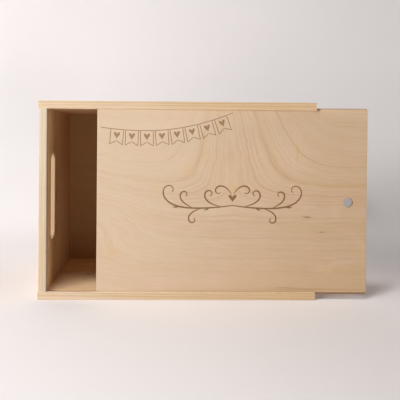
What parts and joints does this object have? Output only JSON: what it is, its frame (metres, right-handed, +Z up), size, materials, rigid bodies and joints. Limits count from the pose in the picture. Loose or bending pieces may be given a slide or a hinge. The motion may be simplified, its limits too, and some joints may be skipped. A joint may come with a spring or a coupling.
{
  "type": "memory box",
  "caption": "Shallow wooden keepsake box with a grooved sliding plywood lid, finger hole and end handle slots, standing on one long wall with the lid part drawn out.",
  "frame": {"origin": "middle of the lower long wall's underside, which is the face the box stands on", "axes": "+X along the box, the way the lid slides out; +Y from the lid to the base; +Z up"},
  "size_m": [0.4165, 0.15, 0.25],
  "materials": {
    "pine_board": "bare sanded pine, matt",
    "birch_plywood": "bare sanded birch plywood, matt",
    "bright_steel": "bright drawn wire, satin"
  },
  "bodies": {
    "box": {"lower_long_wall": "pine_board", "upper_long_wall": "pine_board", "closed_end_wall": "pine_board", "open_end_wall": "pine_board", "base_panel": "birch_plywood", "lower_closed_corner_brads": "bright_steel", "lower_open_corner_brads": "bright_steel", "upper_closed_corner_brads": "bright_steel", "upper_open_corner_brads": "bright_steel", "lower_base_brads": "bright_steel", "upper_base_brads": "bright_steel", "closed_end_base_brads": "bright_steel", "open_end_base_brads": "bright_steel"},
    "lid": {"sliding_lid": "birch_plywood"}
  },
  "joints": [
    {"name": "lid_slide", "type": "slide", "parent": "box", "child": "lid", "axis": [1, 0, 0], "range_m": [-0.0665, 0.285]}
  ]
}
